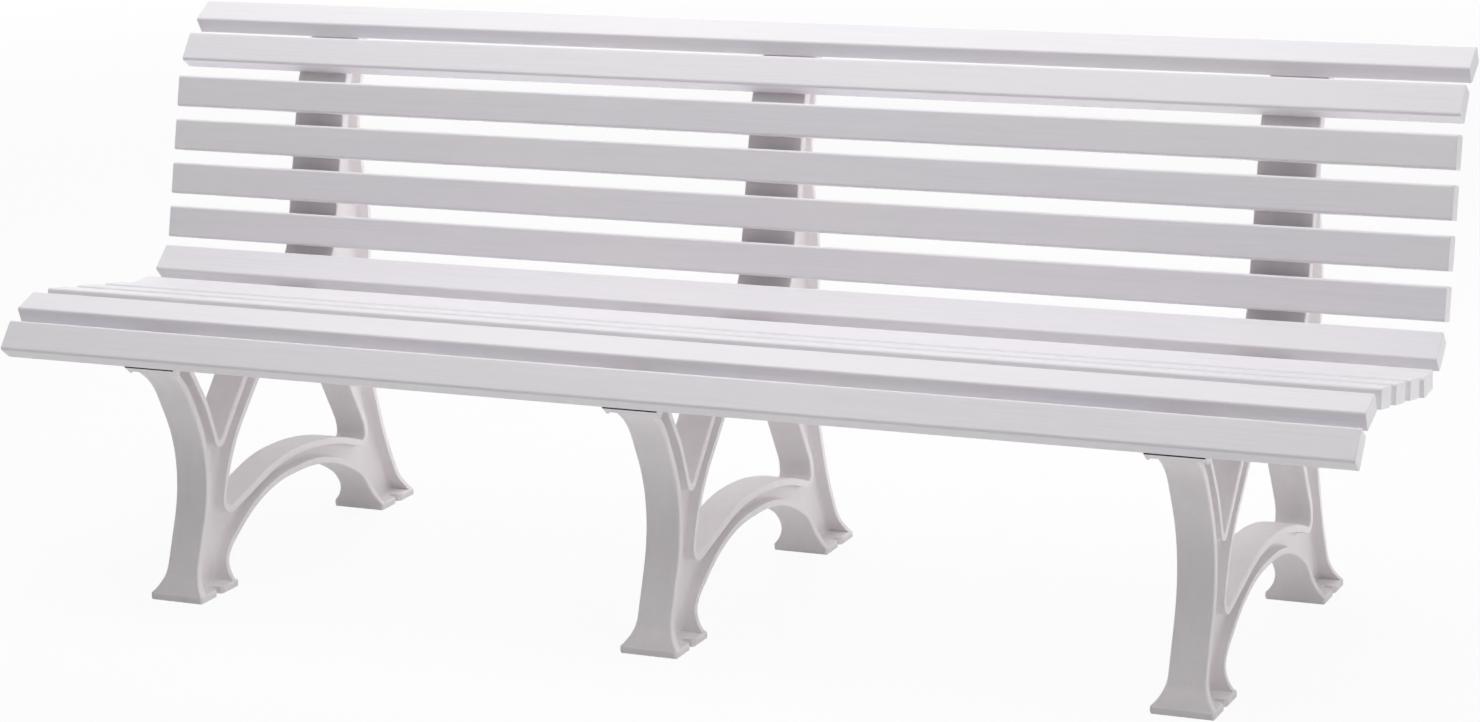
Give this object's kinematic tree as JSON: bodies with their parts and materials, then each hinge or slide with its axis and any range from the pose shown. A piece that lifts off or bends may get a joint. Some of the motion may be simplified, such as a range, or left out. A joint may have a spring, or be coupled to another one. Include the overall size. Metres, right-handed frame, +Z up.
{
  "type": "park bench with backrest",
  "caption": "Slatted bench with a curved seat and back on H-section leg frames with arched feet, moulded in white plastic.",
  "frame": {"origin": "on the ground, in the middle of the bench's length and depth", "axes": "+X along the bench to the right of someone who looks at its front, +Y from the front to the back, +Z up; people sit facing -Y"},
  "size_m": [2, 0.6854, 0.7973],
  "materials": {
    "slat_plastic": "satin, faint grain along the slat",
    "cap_plastic": "satin",
    "frame_plastic": "satin, fine moulded texture",
    "screw_steel": "stainless, satin",
    "washer_steel": "stainless, satin",
    "strip_rubber": "matt black"
  },
  "bodies": {
    "root": {"back_screws_left": "screw_steel", "back_screws_middle": "screw_steel", "back_screws_right": "screw_steel", "back_slat_1": "slat_plastic", "back_slat_1_caps": "cap_plastic", "back_slat_2": "slat_plastic", "back_slat_2_caps": "cap_plastic", "back_slat_3": "slat_plastic", "back_slat_3_caps": "cap_plastic", "back_slat_4": "slat_plastic", "back_slat_4_caps": "cap_plastic", "back_slat_5": "slat_plastic", "back_slat_5_caps": "cap_plastic", "back_slat_6": "slat_plastic", "back_slat_6_caps": "cap_plastic", "back_slat_7": "slat_plastic", "back_slat_7_caps": "cap_plastic", "back_washers_left": "washer_steel", "back_washers_middle": "washer_steel", "back_washers_right": "washer_steel", "head_strip_left": "strip_rubber", "head_strip_middle": "strip_rubber", "head_strip_right": "strip_rubber", "leg_frame_left": "frame_plastic", "leg_frame_middle": "frame_plastic", "leg_frame_right": "frame_plastic", "seat_screws_left": "screw_steel", "seat_screws_middle": "screw_steel", "seat_screws_right": "screw_steel", "seat_slat_1": "slat_plastic", "seat_slat_1_caps": "cap_plastic", "seat_slat_2": "slat_plastic", "seat_slat_2_caps": "cap_plastic", "seat_slat_3": "slat_plastic", "seat_slat_3_caps": "cap_plastic", "seat_slat_4": "slat_plastic", "seat_slat_4_caps": "cap_plastic", "seat_slat_5": "slat_plastic", "seat_slat_5_caps": "cap_plastic", "seat_slat_6": "slat_plastic", "seat_slat_6_caps": "cap_plastic", "seat_washers_left": "washer_steel", "seat_washers_middle": "washer_steel", "seat_washers_right": "washer_steel"}
  },
  "joints": []
}
